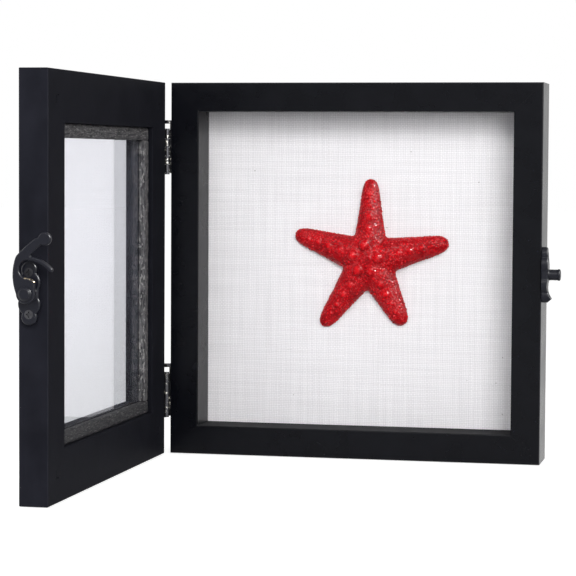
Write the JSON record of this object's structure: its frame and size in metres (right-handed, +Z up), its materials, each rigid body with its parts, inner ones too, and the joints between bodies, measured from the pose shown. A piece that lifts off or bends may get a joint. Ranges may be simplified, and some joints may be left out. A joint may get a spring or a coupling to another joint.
{
  "type": "shadow box frame",
  "caption": "Square shadow box with a linen back, a glazed door on side hinges and a swinging hook latch, holding a dried red starfish.",
  "frame": {"origin": "centre of the box's underside, midway between its front and back edges", "axes": "+X to the viewer's right along the box, +Y from the open front to the back, +Z up"},
  "size_m": [0.2721, 0.2922, 0.24],
  "materials": {
    "painted_wood": "satin black paint",
    "strip_wood": "rough black stain",
    "back_board": "smooth brown hardboard",
    "mount_card": "plain card",
    "linen": "off-white plain weave",
    "starfish_shell": "glossy red, grainy",
    "glass": "clear polished",
    "bright_steel": "bright zinc",
    "hanger_steel": "yellow zinc",
    "hinge_metal": "black, rubbed bright at the edges",
    "latch_metal": "black cast metal, brassy where rubbed"
  },
  "bodies": {
    "box": {"box_bottom_board": "painted_wood", "box_right_board": "painted_wood", "box_top_board": "painted_wood", "box_left_board": "painted_wood", "box_corner_v_nails": "bright_steel", "back_panel": "back_board", "back_panel_points": "bright_steel", "mount_board": "mount_card", "linen_backing": "linen", "sawtooth_hanger": "hanger_steel", "hanger_nails": "bright_steel", "lower_hinge_box_leaf": "hinge_metal", "upper_hinge_box_leaf": "hinge_metal", "lower_hinge_pin": "hinge_metal", "upper_hinge_pin": "hinge_metal", "hinge_box_leaf_screws": "hinge_metal", "strike_plate": "latch_metal", "strike_plate_screws": "latch_metal", "starfish": "starfish_shell"},
    "door": {"door_bottom_rail": "painted_wood", "door_latch_stile": "painted_wood", "door_top_rail": "painted_wood", "door_hinge_stile": "painted_wood", "door_corner_v_nails": "bright_steel", "glazing_strip_bottom": "strip_wood", "glazing_strip_latch_side": "strip_wood", "glazing_strip_top": "strip_wood", "glazing_strip_hinge_side": "strip_wood", "glazing_brads": "bright_steel", "glass_pane": "glass", "lower_hinge_door_leaf": "hinge_metal", "upper_hinge_door_leaf": "hinge_metal", "hinge_door_leaf_screws": "hinge_metal", "latch_plate": "latch_metal", "latch_plate_screws": "latch_metal", "latch_rivet": "latch_metal"},
    "hook": {"latch_hook": "latch_metal"}
  },
  "joints": [
    {"name": "door_swing", "type": "hinge", "parent": "box", "child": "door", "pos_m": [-0.12255, -0.0179, 0], "axis": [0, 0, 1], "range_deg": [-5, 90]},
    {"name": "hook_swing", "type": "hinge", "parent": "door", "child": "hook", "pos_m": [-0.13295, -0.26045, 0.1174], "axis": [0, 1, 0], "range_deg": [-90, 78]}
  ]
}
